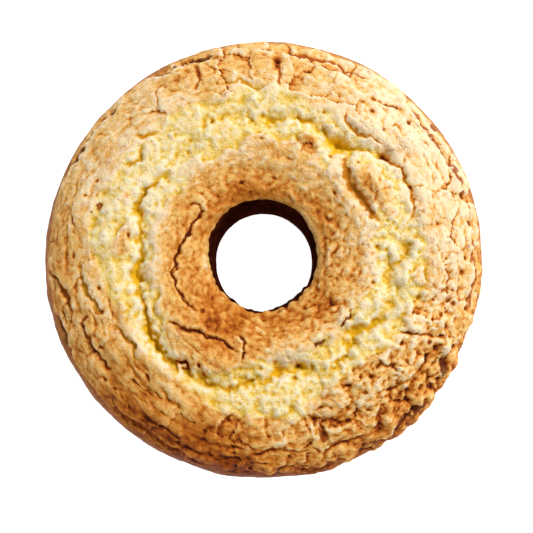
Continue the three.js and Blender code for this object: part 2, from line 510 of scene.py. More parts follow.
@dataclass
class CakeSection:
    """The section through one side of the ring, in mm."""

    outer_radius: float
    crown_height: float
    hole_radius: float = 28.6
    base_radius: float = 110.6
    widest_height: float = 38.0
    base_corner: float = 8.0
    hole_corner: float = 2.5
    crown_step: float = 0.82
    side_step: float = 1.6
    base_step: float = 5.0

    def outline(self) -> np.ndarray:
        """Gives stops along the closed section, up the hole, over the crown and down the side.

        Returns:
            Rows of distance from the axis and height.
        """
        hole, out, top = self.hole_radius, self.outer_radius, self.crown_height
        quarter = np.linspace(0, math.pi / 2, 6)
        inner = np.stack([
            hole + self.hole_corner * (1 - np.sin(quarter)),
            self.hole_corner * (1 - np.cos(quarter)),
        ], axis=1)
        rise = np.array([
            (hole, 10), (hole, 20), (hole, 32), (hole, top - 20.5), (hole + 0.2, top - 14.5),
            (hole + 1.5, top - 10.8), (hole + 5.0, top - 8.2), (hole + 10, top - 6.0),
            (hole + 15.5, top - 4.1), (hole + 21.5, top - 2.4), (hole + 27.5, top - 1.1),
            (hole + 35, top - 0.3), (hole + 42, top), (out - 40, top - 0.2), (out - 30, top - 2.1),
            (out - 22, top - 4.6), (out - 15.5, top - 7.4), (out - 10.5, top - 10.6),
            (out - 7.0, top - 13.6), (out - 4.2, top - 16.8), (out - 2.0, top - 20.4),
            (out - 0.6, top - 23.6), (out, self.widest_height),
            (out - 0.7, self.widest_height - 5), (out - 3.0, self.widest_height - 14.5),
            (out - 5.6, self.widest_height - 23),
        ])
        corner = np.linspace(0.15, math.pi / 2, 8)
        outer = np.stack([
            self.base_radius - self.base_corner * (1 - np.cos(corner)),
            self.base_corner * (1 - np.sin(corner)),
        ], axis=1)
        return np.concatenate([inner, curve_through(rise), outer])

    def rings(self) -> list[tuple[float, float, float, float]]:
        """Spreads rings along the section, close together where the crust is torn.

        Returns:
            Distance from the axis, height, and the outward direction's two parts, for each ring.
        """
        stops = self.outline()
        stops = np.concatenate([stops, stops[:1]])
        run = np.concatenate([[0], np.cumsum(np.linalg.norm(np.diff(stops, axis=0), axis=1))])
        marks = [0.0]
        while marks[-1] < run[-1]:
            radius, height = (np.interp(marks[-1], run, stops[:, k]) for k in (0, 1))
            marks.append(marks[-1] + self.step_at(radius, height))
        found, reach = [], 0.4
        for mark in np.array(marks[:-1]) * (run[-1] / marks[-1]):
            (radius, height), later, earlier = (
                np.array([np.interp((mark + side) % run[-1], run, stops[:, k]) for k in (0, 1)])
                for side in (0.0, reach, -reach)
            )
            along, rise = (later - earlier) / np.linalg.norm(later - earlier)
            found.append((radius, height, -rise, along))
        return found

    def step_at(self, radius: float, height: float) -> float:
        """Gives the distance between rings, and between points of a ring, at a place.

        Args:
            radius: Distance from the axis in mm.
            height: Height in mm.

        Returns:
            The distance in mm.
        """
        if height < 0.3:
            return self.base_step if self.hole_radius + 6 < radius < self.base_radius - 14 else 2.5
        if height < self.widest_height or radius < self.hole_radius + 0.1:
            return self.side_step
        return self.crown_step


def curve_through(stops: np.ndarray, steps: int = 8) -> np.ndarray:
    """Runs a smooth curve through stops.

    Args:
        stops: Rows of coordinates.
        steps: Points for each stretch between two stops.

    Returns:
        The points of the curve, with the last stop at its end.
    """
    ends = np.concatenate([2 * stops[:1] - stops[1:2], stops, 2 * stops[-1:] - stops[-2:-1]])
    share = np.linspace(0, 1, steps, endpoint=False)[:, None]
    pieces = []
    for a, b, c, d in zip(ends, ends[1:], ends[2:], ends[3:]):
        pieces.append(0.5 * (
            2 * b + (c - a) * share + (2 * a - 5 * b + 4 * c - d) * share**2
            + (3 * b - a - 3 * c + d) * share**3
        ))
    return np.concatenate([*pieces, stops[-1:]])


def stitch(rings: list[np.ndarray]) -> list[tuple[int, ...]]:
    """Joins rings of points into one closed skin, the last ring back to the first.

    Args:
        rings: For each ring, the numbers of its points in order of angle.

    Returns:
        Faces as point numbers, in order so that they face out.
    """
    faces: list[tuple[int, ...]] = []
    for lower, upper in zip(rings, rings[1:] + rings[:1]):
        low_count, high_count = len(lower), len(upper)
        if low_count == high_count:
            for i in range(low_count):
                j = (i + 1) % low_count
                faces.append((int(lower[i]), int(upper[i]), int(upper[j]), int(lower[j])))
            continue
        i = j = 0
        while i < low_count or j < high_count:
            if j >= high_count or (i < low_count and (i + 1) * high_count <= (j + 1) * low_count):
                faces.append((int(lower[i]), int(upper[j % high_count]), int(lower[(i + 1) % low_count])))
                i += 1
            else:
                faces.append((int(lower[i % low_count]), int(upper[j]), int(upper[(j + 1) % high_count])))
                j += 1
    return faces


@dataclass(frozen=True)
class Ground:
    """Where each point of the plain ring lies, and what the oven made of the batter there."""

    points: np.ndarray  # x, y and z in mm
    plan: np.ndarray  # x and y about the burst's middle, made ragged
    true_radius: np.ndarray  # mm from the ring's axis
    radius: np.ndarray  # mm from the burst's middle
    angle: np.ndarray  # degrees about the burst's middle
    shift: np.ndarray  # what makes a pattern ragged, along x, y and z
    wander: np.ndarray  # what makes an edge ragged
    loose: np.ndarray  # how readily the crust stands up in clods
    crown: np.ndarray  # 1 on the risen top, 0 on the sides
    beyond: np.ndarray  # 0 on the collar, 1 outside it
    shoulder: np.ndarray  # 1 where the crust is free of the tin
    crumb: np.ndarray  # 1 where the crumb is open
    collar: np.ndarray  # how wrinkled the collar is, 0 off it

    @property
    def height(self) -> np.ndarray:
        """Height of each point in mm."""
        return self.points[:, 2]

    @property
    def crust(self) -> np.ndarray:
        """1 where the crust is whole."""
        return 1 - self.crumb

    @property
    def broken_up(self) -> np.ndarray:
        """How far the crust broke up into clods."""
        return np.clip(self.loose - 0.35, 0, 2) * (0.2 + 0.8 * self.beyond) * self.shoulder

    def drawn_out(self, share: float) -> np.ndarray:
        """Moves the points so that a pattern read at them is drawn out along the cake.

        Args:
            share: How much of the pattern's own rate of change is left along the cake.

        Returns:
            Rows of x, y, z to read a pattern at.
        """
        x, y, z = self.points.T
        return np.stack([share * x, share * y, self.radius - z], axis=1)


@dataclass
class TornCrown:
    """Everything that the oven did to the surface: swells, splits, pits and browning.

    Heights are in mm, and a spacing is the mm from one swell, puff or plate to the next. What is
    added to the points before a pattern is read at them only sets one pattern apart from another.
    """

    section: CakeSection
    grain: Grain = field(default_factory=lambda: Grain(seed=24))
    burst_middle: tuple[float, float] = (0.9, -2.1)
    swell_height: float = 1.0
    swell_spacing: float = 30.0
    plate_height: float = 1.4
    shard_rise: float = 1.35
    shard_spacings: tuple[float, ...] = (25.0, 12.0, 7.0)
    crease_depth: float = 0.8
    crease_spacing: float = 11.0
    fold_height: float = 1.0
    fold_spacing: float = 13.0
    crinkle_height: float = 0.30
    crinkle_spacing: float = 3.4
    collar_height: float = 0.85
    collar_spacing: float = 13.0
    puff_height: float = 0.95
    puff_spacing: float = 17.0
    clod_height: float = 1.05
    clod_spacing: float = 19.0
    curd_height: float = 0.8
    curd_spacing: float = 9.5

    def shape(self, points: np.ndarray) -> dict[str, np.ndarray]:
        """Works out the relief and the finish values at points of the plain ring.

        Args:
            points: Rows of x, y, z on the plain section, in mm.

        Returns:
            "height", the relief along the surface's own direction in mm, and the values that the
            finish reads: "crumb", "bake", "pocket", "gap", "tone", "tin", "bore" and "seam", of which
            "pocket", "gap", "tone" and "seam" place painted shade and painted glow. "lean" is how far
            the hole's rim moves outwards, in mm.
        """
        ground, grain = self.survey(points), self.grain
        height, rim = ground.height, self.section.hole_radius
        below = 49 - 10 * np.clip(ground.loose - 0.4, 0, 1) + 1.5 * grain.swell(points + 30, 8, 2)
        tin = smooth(height - below, 0, -6)
        tin *= np.maximum(smooth(ground.true_radius, 60, 70), smooth(height, 6, 3))
        bore = np.maximum(
            smooth(ground.true_radius, rim + 1.2, rim + 0.3),
            smooth(height, 48, 44) * (ground.true_radius < rim + 6),
        ) * smooth(height, 1.5, 3.5)

        slid, seam = self.shards(ground)
        deep, crevice = self.crevice(ground)
        relief = self.swells(ground) + self.puffs(ground) + slid + self.creases(ground)
        relief += self.curds(ground) - deep * crevice
        ragged_angle = ground.angle + 0.5 * ground.shift[:, 0]
        ragged_radius = ground.radius + 0.3 * ground.shift[:, 1]
        pits = sum(pit.at(ragged_angle, ragged_radius) for pit in PITS)
        relief -= pits * smooth(height, 36, 44)
        gap, tone, cut, lip = self.cracks(ground.plan)
        relief += (lip - cut) * smooth(height, 34, 40)

        # the sides keep the tin's shape, with small blisters
        relief += OUTLINE.at(ground.angle) * smooth(height, 10, 32) * smooth(height, 58, 46)
        relief += 0.22 * tin * grain.swell(points + 700, 4, 2)
        relief += 0.12 * bore * grain.swell(points + 800, 3)
        relief *= smooth(height, 0.0, 3.0)

        # the finish paints from these: "pocket" as painted glow and shade deep in the crevice, and each
        # pit's gap and tone darken its inside as painted shade
        in_pit = pits > 0.5
        return {
            "height": relief, "crumb": ground.crumb, "bake": self.browning(ground),
            "pocket": np.clip(0.2 * deep - 0.55, 0, 1) * crevice * ground.crumb,
            "gap": np.where(in_pit, np.minimum(np.abs(gap), np.clip(1.3 - pits, 0, 1)), gap),
            "tone": np.where(in_pit, np.maximum(tone, 0.7), tone),
            "tin": tin, "bore": bore, "seam": seam, "lean": self.rim_lean(ground),
        }

    def survey(self, points: np.ndarray) -> Ground:
        """Finds where points lie, and where the crust is whole or torn open.

        Args:
            points: Rows of x, y, z on the plain section, in mm.

        Returns:
            The points with what is known of each.
        """
        grain = self.grain
        height, rim = points[:, 2], self.section.hole_radius
        true_radius = np.hypot(points[:, 0], points[:, 1])
        burst = points[:, :2] - np.array(self.burst_middle)
        radius = np.hypot(burst[:, 0], burst[:, 1])
        angle = np.degrees(np.arctan2(burst[:, 1], burst[:, 0])) % 360
        crown, beyond, loose = smooth(height, 40, 50), smooth(radius, 50, 64), CLODS.at(angle)
        start = 42 - 12 * np.clip(loose - 0.35, 0, 1)
        shoulder = smooth(height, start, start + 10) * (true_radius > rim + 3)
        collar = (1 - beyond) * crown * smooth(true_radius, rim, rim + 5) * COLLAR_WRINKLES.at(angle)

        # edges wander by a few mm, then by fractions of one
        shift = np.stack([grain.swell(points + move, 6.5, 2) for move in (90, 140, 190)], axis=1)
        finer = np.stack([grain.swell(points + move, 3.2, 2) for move in (240, 260)], axis=1)
        wander = 1.6 * grain.swell(points, 9, 2) + 0.7 * grain.swell(points + 50, 2.6)
        lobes = 2.6 * wander + 4.5 * grain.swell(points + 70, 17, 3)
        fray = 5.5 * grain.swell(points + 200, 15, 4)
        collar_edge, crumb_edge = COLLAR_EDGE.at(angle), CRUMB_EDGE.at(angle)
        off_collar = smooth(radius + lobes, collar_edge - 2.2, collar_edge + 2.2)
        inside = smooth(radius + fray, crumb_edge + 3.0, crumb_edge - 3.0)
        skinned = sum(patch.at(angle, radius) for patch in SKINNED_PATCHES)
        skinned = smooth(skinned + 0.35 * grain.swell(points + 220, 6, 2), 0.42, 0.62)
        return Ground(
            points=points, plan=burst + 1.1 * shift[:, :2] + 1.0 * finer, true_radius=true_radius,
            radius=radius, angle=angle, shift=shift, wander=wander, loose=loose, crown=crown,
            beyond=beyond, shoulder=shoulder, crumb=off_collar * inside * crown * (1 - skinned),
            collar=collar,
        )

    def swells(self, ground: Ground) -> np.ndarray:
        """Raises the batter's broad swells, the lumps, and whole crust above open crumb.

        Args:
            ground: The points.

        Returns:
            Height of each in mm.
        """
        grain, points, rim = self.grain, ground.points, self.section.hole_radius
        broad = self.swell_height * grain.swell(points, self.swell_spacing, 2)
        broad *= smooth(ground.height, 8, 48) * smooth(ground.true_radius, rim, rim + 14)
        lumps = sum(lump.at(ground.angle, ground.radius) for lump in LUMPS)
        share = 0.45 + 0.2 * ground.beyond + 0.7 * ground.loose * ground.beyond
        lumps += share * grain.swell(points + 300, 12, 2)
        lumps += self.plate_height * (ground.crust - 0.6) * smooth(ground.radius, 46, 56)
        return broad + lumps * ground.crown

    def puffs(self, ground: Ground) -> np.ndarray:
        """Raises puffs on crust and collar, and clods where the crust broke up.

        Args:
            ground: The points.

        Returns:
            Height of each in mm.
        """
        grain, points, shift = self.grain, ground.points, ground.shift
        soft = ground.crust * ground.shoulder * (0.25 + 0.75 * ground.beyond) * (0.5 + 0.6 * ground.loose)
        relief = grain.puffs(points + 1.5 * shift, self.puff_spacing, 3)
        relief = self.puff_height * soft * (relief + 0.45 * grain.puffs(points + 330, 6.5))
        small = points + 3.4 * shift + 0.5 * ground.wander[:, None]
        clods = self.clod_height * grain.mounds(points + 350 + 3.4 * shift, self.clod_spacing)
        clods += 0.8 * grain.mounds(small, 10.5) + 0.45 * grain.puffs(points + 340 + 0.6 * shift, 5.5)
        collar = grain.puffs(points + 730 + 1.2 * shift, self.collar_spacing, 3)
        collar += 0.5 * grain.puffs(points + 760 + 0.6 * shift, 5.5)
        relief += ground.broken_up * clods
        return relief + self.collar_height * ground.collar * collar

    def shards(self, ground: Ground) -> tuple[np.ndarray, np.ndarray]:
        """Breaks the crust into plates that slid a little over each other.

        Args:
            ground: The points.

        Returns:
            Height of each point in mm, and its distance from the nearest seam in mm.
        """
        seams = SEAMS.at(ground.angle)
        whole = ground.crust * ground.shoulder * ground.beyond
        strength = self.shard_rise * whole * (0.15 + 0.85 * seams)
        relief, nearest = np.zeros(len(whole)), np.full(len(whole), 9.0)
        shares = (1.0, 0.4, 0.4 * ground.broken_up)
        for offset, spacing, share in zip((820, 860, 890), self.shard_spacings, shares):
            warped = ground.points + offset + 0.07 * spacing * ground.shift + 0.4 * ground.wander[:, None]
            _, seam, number, tilt = self.grain.plates(warped, spacing)
            seam *= spacing / 2
            relief += share * strength * ((number - 0.5) + 1.1 * tilt)
            broken = smooth(self.grain.swell(ground.points + offset + 7, 17), 0.0, 0.3) * seams
            relief -= 0.8 * share * strength * broken * np.exp(-((seam / 0.8) ** 2))
            nearest = np.minimum(nearest, seam + 4 * (1 - broken) + 0.4 * (1 - share))
        return relief, nearest + 6 * (1 - whole)

    def creases(self, ground: Ground) -> np.ndarray:
        """Folds, creases and crinkles the crust, all drawn out around the cake.

        Args:
            ground: The points.

        Returns:
            Height of each in mm.
        """
        grain, shift = self.grain, ground.shift
        strength, top = CREASES.at(ground.angle), ground.crust * ground.crown
        folds = grain.puffs(ground.drawn_out(0.3) + 60 + 0.7 * shift, self.fold_spacing)
        relief = self.fold_height * folds * strength * top * ground.beyond
        line = grain.swell(ground.drawn_out(0.38) + 0.8 * shift, self.crease_spacing, 2)
        kept = smooth(grain.swell(ground.points + 520, 13), -0.05, 0.25) * strength
        crease = np.exp(-((line / 0.11) ** 2)) * kept * top * smooth(ground.radius, 46, 70)
        along = ground.drawn_out(0.5) + 0.4 * shift
        crinkles = grain.puffs(along, self.crinkle_spacing) * top * (0.7 + 0.4 * ground.loose)
        crinkles += 0.7 * grain.puffs(along + 40, 2.4, 1) * ground.collar
        return relief - self.crease_depth * crease + self.crinkle_height * crinkles

    def curds(self, ground: Ground) -> np.ndarray:
        """Tears the open crumb into soft lumps with holes between them.

        Args:
            ground: The points.

        Returns:
            Height of each in mm.
        """
        grain, points, shift = self.grain, ground.points, ground.shift
        lumps = 1.6 * grain.swell(points + 400 + 1.2 * shift, self.curd_spacing, 3)
        lumps += 0.3 * grain.mounds(points + 430 + shift, 4.6)
        holes = smooth(grain.plates(points + 450, 6.0)[0], 0.28, 0.12)
        return ground.crumb * self.curd_height * CURDS.at(ground.angle) * (lumps - 0.8 * holes)

    def crevice(self, ground: Ground) -> tuple[np.ndarray, np.ndarray]:
        """Opens the ring-shaped crevice where the batter burst.

        Args:
            ground: The points.

        Returns:
            How deep the crevice is beside each point in mm, and how far in it the point lies, 0 to 1.
        """
        grain, points = self.grain, ground.points
        width = CREVICE_WIDTH.at(ground.angle) * (1 + 0.6 * grain.swell(points + 600, 12))
        ragged = 2.0 * ground.wander + 1.1 * grain.swell(points + 670, 5, 2)
        across = (ground.radius - CREVICE_RADIUS.at(ground.angle) - ragged) / width
        uneven = np.clip(1.1 + 0.9 * grain.swell(points + 650, 14, 2), 0.45, 1.7)
        return CREVICE_DEPTH.at(ground.angle) * uneven, np.exp(-np.abs(across) ** 1.5) * ground.crown

    def rim_lean(self, ground: Ground) -> np.ndarray:
        """Works out how far the ragged rim of the hole is pushed outwards.

        Args:
            ground: The points.

        Returns:
            Distance for each in mm.
        """
        rim, points = self.section.hole_radius, ground.points
        near = smooth(ground.true_radius, rim + 20, rim + 1) * smooth(ground.height, 0, 5)
        ragged = 0.9 * self.grain.swell(points + 620, 7, 2) + 0.5 * self.grain.swell(points + 640, 3)
        ragged *= RIM_RAGGED.at(ground.angle) * smooth(ground.height, 30, 44)
        return near * (RIM_LEAN.at(ground.angle) + ragged)

    def cracks(self, plan: np.ndarray) -> tuple[np.ndarray, ...]:
        """Finds the nearest crack of each point.

        Args:
            plan: Rows of x, y in mm, already made ragged.

        Returns:
            The signed distance in half widths, how dark the crack is painted inside (painted shade, partly
            its own brown), its depth, and its lip.
        """
        gap = np.full(len(plan), 9.0)
        tone, cut, lip = (np.zeros(len(plan)) for _ in range(3))
        for crack in CRACKS:
            away, side, along = crack.nearest(plan)
            dark, curl = crack.kind.value
            taper = 0.25 + 0.75 * np.sqrt(np.clip(4 * along * (1 - along), 0, 1))
            here = away / (crack.width * taper)
            mine = here < np.abs(gap)
            gap = np.where(mine, here * side, gap)
            tone = np.where(mine, dark, tone)
            valley = np.exp(-((away / (crack.width * 1.1 + 0.45)) ** 2))
            cut = np.maximum(cut, crack.depth * taper * valley)
            edge = away * side - crack.width - 1.0
            edge /= np.where(edge < 0, 0.8, 4.0)
            lip = np.maximum(lip, curl * taper * np.exp(-(edge**2)) * min(crack.depth, 2.5))
        return gap, tone, cut, lip

    def browning(self, ground: Ground) -> np.ndarray:
        """Works out how brown the crust is.

        Args:
            ground: The points.

        Returns:
            One value for each, from 0 for pale gold to 1 for nearly burnt.
        """
        radius, angle, height = ground.radius, ground.angle, ground.height
        blend = smooth(radius, 56, 66)
        collar_edge, crumb_edge = COLLAR_EDGE.at(angle), CRUMB_EDGE.at(angle)
        bake = (COLLAR_BAKE.at(angle) + 0.08 * smooth(radius, 48, 34)) * (1 - blend)
        bake += OUTER_BAKE.at(angle) * blend
        bake -= 0.08 * smooth(radius, crumb_edge + 18, crumb_edge) * blend
        bake -= COLLAR_FADE.at(angle) * smooth(radius, collar_edge - 15, collar_edge + 2)
        bake += sum(patch.at(angle, radius) for patch in BAKED_PATCHES) * smooth(height, 30, 44)
        bake += 0.16 * sum(patch.at(angle, radius) for patch in SKINNED_PATCHES)
        bake += 0.30 * smooth(height, 52, 40) * ((radius > 60) | (height < 3))
        bake += 0.13 * self.grain.swell(ground.points + 900, 16, 2)
        bake += 0.06 * self.grain.swell(ground.points + 950, 4, 2)
        return np.clip(bake, 0, 1)


@dataclass(frozen=True)
class BakedCake:
    """Yellow sponge baked in a tin.

    The crust is dry, dark where the sugar browned, with a faint sheen on what stands up; its colour is
    also painted paler on what stands up and browner in what is sunk, a painted highlight and painted shade.
    The torn crumb is paler, softer and full of bubbles, and its hollows, pores and deep crevice are
    painted a deeper gold, as painted shade and painted glow for light that soaks through thin edges.
    The insides of cracks, pits, pinholes, hairlines and seams are painted dark, as painted shade that is
    partly the crack's own brown.
    """

    name: str = "baked_sponge_crust"
    crust_pale: str = "#F4DEB6"
    crust_gold: str = "#EBBA68"
    crust_tan: str = "#D1822B"
    crust_brown: str = "#9C4806"
    crust_dark: str = "#4E1702"
    crumb_bright: str = "#F5E6C0"
    crumb_middle: str = "#F0D37E"
    # crumb_hollow and crumb_deep are painted shade for the crumb's hollows and pores
    crumb_hollow: str = "#DFB030"
    crumb_deep: str = "#CA8F12"
    # the split colours paint the insides of cracks, pits, pinholes, hairlines and seams as painted shade,
    # partly the crack's own brown; split_gold is also the painted glow of the deep crevice
    split_gold: str = "#EDBE1C"
    split_orange: str = "#B0561A"
    split_dark: str = "#471505"
    tin_side: str = "#874317"
    tin_speck: str = "#C0803E"
    crumb_pore: float = 1.7  # mm between the fine pores of the crumb
    fine: float = 1.1  # mm between grains of the baked surface
    grit: float = 2.4  # mm between its coarser grains
    mottle: float = 3.2  # mm between flecks on the crust
    speck: float = 3.0  # mm between pinholes in the crust
    craze: float = 3.6  # mm between the crust's hairlines
    clear: float = 5.0  # mm between places with hairlines and places with none
    stretch: float = 0.5  # how much slower hairlines and pinholes change along the cake than across
    roughness: float = 0.6
    crumb_roughness: float = 0.9
    relief: float = 0.0008  # m that the finest grain stands up
    depth: float = 0.0016  # m that light soaks in

    def material(self) -> bpy.types.Material:
        """Builds the material.

        Returns:
            A material that reads Object coordinates and the cake's own values.
        """
        material = bpy.data.materials.new(self.name)
        material.use_nodes = True
        tree = material.node_tree
        tree.nodes.clear()
        value = self.fields(tree)
        crust, crumb, crack_shade = self.layers(tree, value)

        # the ragged edge between crust and crumb, then the cracks' painted shade, then the side that met the
        # tin
        edge = add_node(tree, "Math", {
            0: value["flecks"], 1: 1.2, 2: value["crumb"],
        }, operation="MULTIPLY_ADD")
        torn = add_node(tree, "MapRange", {
            0: edge, 1: 0.80, 2: 1.40,
        }, interpolation_type="SMOOTHSTEP")
        flecked = add_node(tree, "Math", {
            0: value["bake"], 1: -0.8, 2: value["grit"],
        }, operation="MULTIPLY_ADD")
        fleck_share = add_node(tree, "MapRange", {
            0: flecked, 1: -0.28, 2: 0.06, 4: 0.5,
        }, interpolation_type="SMOOTHSTEP")
        side = add_node(tree, "Mix", {
            0: fleck_share, 6: linear(self.tin_side), 7: linear(self.tin_speck),
        }, data_type="RGBA")
        colour = crust
        for share, over in ((torn, crumb), (value["split"], crack_shade), (value["tin"], side)):
            colour = add_node(tree, "Mix", {0: share, 6: colour, 7: over}, data_type="RGBA")

        # fine bump, too small for the mesh
        grain = 0.0
        for part, share in (
            ("fine", 0.9), ("grit", 0.9), ("pinhole", -0.3), ("hairline", -0.2), ("pore", -0.35),
        ):
            grain = add_node(tree, "Math", {
                0: value[part], 1: share, 2: grain,
            }, operation="MULTIPLY_ADD")
        bump = add_node(tree, "Bump", {"Height": grain, "Strength": 1.0, "Distance": self.relief})
        rough = add_node(tree, "MapRange", {
            0: value["crumb"], 3: self.roughness, 4: self.crumb_roughness,
        })
        shader = add_node(tree, "BsdfPrincipled", {
            "Base Color": colour, "Roughness": rough, "Normal": bump, "IOR": 1.4,
            "Specular IOR Level": 0.14, "Subsurface Weight": 0.32,
            "Subsurface Radius": (1.0, 0.62, 0.16), "Subsurface Scale": self.depth,
        })
        add_node(tree, "OutputMaterial", {"Surface": shader})
        return material

    def fields(self, tree: bpy.types.NodeTree) -> dict[str, bpy.types.Node | bpy.types.NodeSocket]:
        """Adds what the colours and the bump are read from.

        Args:
            tree: The material's tree.

        Returns:
            Each value by its name.
        """
        place = add_node(tree, "TexCoord").outputs["Object"]
        flat = add_node(tree, "VectorMath", {0: place, 1: (1, 1, 0)}, operation="MULTIPLY")
        radius = add_node(tree, "VectorMath", {0: flat}, operation="LENGTH").outputs["Value"]
        parts = add_node(tree, "SeparateXYZ", {0: place}).outputs
        across = add_node(tree, "Math", {0: radius, 1: parts["Z"]}, operation="SUBTRACT")
        rest = add_node(tree, "CombineXYZ", {2: across})
        drawn = add_node(tree, "VectorMath", {
            0: flat, 1: (self.stretch, self.stretch, 0), 2: rest,
        }, operation="MULTIPLY_ADD")
        value = {
            name: add_node(tree, "Attribute", attribute_name=name).outputs["Fac"]
            for name in ("crumb", "bake", "pocket", "gap", "tone", "tin", "dip", "hollow", "seam")
        }
        for name, (at, size, detail, rough, bend) in {
            "fine": (place, self.fine, 3.0, 0.65, 0.0), "flecks": (place, self.mottle, 4.0, 0.6, 0.0),
            "grit": (place, self.grit, 4.0, 0.65, 0.0), "ridge": (drawn, self.craze, 3.0, 0.6, 0.6),
            "places": (place, self.clear, 1.0, 0.5, 0.0),
        }.items():
            value[name] = add_node(tree, "TexNoise", {
                "Vector": at, "Scale": 1 / (size * MM), "Detail": detail, "Roughness": rough,
                "Distortion": bend,
            }).outputs["Fac"]
        for name, at, size in (("speck", drawn, self.speck), ("bubble", place, self.crumb_pore)):
            dots = add_node(tree, "TexVoronoi", {"Vector": at, "Scale": 1 / (size * MM)}).outputs
            value[name], value[name + "_colour"] = dots["Distance"], dots["Color"]
        value["pick"] = add_node(tree, "SeparateColor", {0: value["speck_colour"]})

        # hairlines run where a noise crosses its middle; a seam is ragged, and so is a crack
        value["ridge"] = add_node(tree, "Math", {0: value["ridge"], 1: 0.5}, operation="SUBTRACT")
        for name, source in (("level", "ridge"), ("away", "gap")):
            value[name] = add_node(tree, "Math", {0: value[source]}, operation="ABSOLUTE")
        for name, source, by, share in (
            ("seam", "seam", "flecks", 1.2), ("rag", "away", "fine", 1.4), ("rag", "rag", "flecks", 1.6),
        ):
            value[name] = add_node(tree, "Math", {
                0: value[by], 1: share, 2: value[source],
            }, operation="MULTIPLY_ADD")

        # each of these rises from 0 at low to its strength at high
        for name, source, low, high, strength in (
            ("line", "level", 0.022, 0.004, 0.6), ("some", "places", 0.52, 0.60, 1.0),
            ("airy", "places", 0.44, 0.56, 1.0), ("hole", "speck", 0.22, 0.12, 0.6),
            ("few", "pick", 0.84, 0.92, 1.0), ("seamline", "seam", 1.20, 0.75, 0.55),
            ("split", "rag", 2.75, 1.95, 0.88),
            ("bubbles", "bubble", 0.36, 0.12, 0.8), ("crevice_glow", "pocket", 0.15, 0.85, 0.9),
            # sunk and low read how far a point lies below the skin around it: they paint shade into the
            # crust
            ("sunk", "dip", -0.05, 0.75, 1.0), ("low", "hollow", -0.2, 2.4, 1.0),
        ):
            value[name] = add_node(tree, "MapRange", {
                0: value[source], 1: low, 2: high, 3: 0.0, 4: strength,
            }, interpolation_type="SMOOTHSTEP")
        for name, one, other in (
            ("hairline", "line", "some"), ("pinhole", "hole", "few"), ("pore", "bubbles", "crumb"),
            ("pore", "pore", "airy"),
        ):
            value[name] = add_node(tree, "Math", {
                0: value[one], 1: value[other],
            }, operation="MULTIPLY")
        return value

    def layers(self, tree: bpy.types.NodeTree, value: dict) -> tuple[bpy.types.Node, ...]:
        """Adds the colours of the crust, the crumb and the inside of a crack, with painted highlight,
        painted shade and painted glow in them.

        Args:
            tree: The material's tree.
            value: What fields gave.

        Returns:
            The three colours.
        """
        # crust: painted paler on what stands up and browner in what is sunk, a painted highlight and painted
        # shade over its real browning; crumb: painted bright on its curds and darker in its hollows, painted
        # highlight and painted shade
        mixed = {}
        for name, start, parts in (
            ("bake", 0.02, (
                ("bake", 1.0), ("flecks", 0.20), ("fine", -0.28), ("dip", 0.38), ("hollow", 0.10),
                ("sunk", 0.25), ("low", 0.20),
            )),
            ("crumb_tone_and_shade", 0.42, (("fine", 0.63), ("dip", -0.42), ("hollow", -0.15), ("bake", -0.62))),
        ):
            mixed[name] = start
            for part, share in parts:
                mixed[name] = add_node(tree, "Math", {
                    0: value[part], 1: share, 2: mixed[name],
                }, operation="MULTIPLY_ADD")
        colours = []
        for source, stops in (
            (mixed["bake"], (
                (0.04, self.crust_pale), (0.30, self.crust_gold), (0.52, self.crust_tan),
                (0.76, self.crust_brown), (1.0, self.crust_dark),
            )),
            (mixed["crumb_tone_and_shade"], (
                (0.05, self.crumb_deep), (0.28, self.crumb_hollow), (0.52, self.crumb_middle),
                (0.78, self.crumb_bright),
            )),
            # the inside of a crack, gold to nearly black: painted shade, partly the crack's own brown
            (value["tone"], ((0.1, self.split_gold), (0.55, self.split_orange), (0.95, self.split_dark))),
        ):
            ramp = add_node(tree, "ValToRGB", {"Fac": source})
            while len(ramp.color_ramp.elements) < len(stops):
                ramp.color_ramp.elements.new(1.0)
            for element, (at, colour) in zip(ramp.color_ramp.elements, stops):
                element.position = at
                element.color = linear(colour)
            colours.append(ramp)
        crust, crumb, crack_shade = colours
        # pinholes, hairlines and seams get the orange of a crack's shaded inside, pores the gold of a shaded
        # hollow, and the deep crevice a painted glow: painted shade and painted glow
        for share in ("pinhole", "hairline", "seamline"):
            crust = add_node(tree, "Mix", {
                0: value[share], 6: crust, 7: linear(self.split_orange),
            }, data_type="RGBA")
        for share, over in (("pore", self.crumb_hollow), ("crevice_glow", self.split_gold)):
            crumb = add_node(tree, "Mix", {
                0: value[share], 6: crumb, 7: linear(over),
            }, data_type="RGBA")
        return crust, crumb, crack_shade


@dataclass(frozen=True)
class BoreWall:
    """The hole's wall, baked dark against the tin's hot centre tube and painted nearly black as painted
    shade inside the hole, dead matt.
    """

    name: str = "tin_scorched_and_shaded_wall"
    # colour and scorch_and_shade are the wall's own dark crust, darkened further as painted shade inside the
    # hole
    colour: str = "#4A1C0C"
    scorch_and_shade: str = "#1E0703"
    blotch: float = 5.0  # mm between its blotches
    relief: float = 0.0015  # m that they stand up

    def material(self) -> bpy.types.Material:
        """Builds the material.

        Returns:
            A material that reads Object coordinates.
        """
        material = bpy.data.materials.new(self.name)
        material.use_nodes = True
        tree = material.node_tree
        tree.nodes.clear()
        place = add_node(tree, "TexCoord").outputs["Object"]
        noise = add_node(tree, "TexNoise", {
            "Vector": place, "Scale": 1 / (self.blotch * MM), "Detail": 4.0, "Roughness": 0.65,
        }).outputs["Fac"]
        share = add_node(tree, "MapRange", {0: noise, 1: 0.35, 2: 0.65})
        colour = add_node(tree, "Mix", {
            0: share, 6: linear(self.scorch_and_shade), 7: linear(self.colour),
        }, data_type="RGBA")
        bump = add_node(tree, "Bump", {"Height": noise, "Strength": 1.0, "Distance": self.relief})
        shader = add_node(tree, "BsdfPrincipled", {
            "Base Color": colour, "Roughness": 1.0, "Normal": bump, "Specular IOR Level": 0.0,
        })
        add_node(tree, "OutputMaterial", {"Surface": shader})
        return material


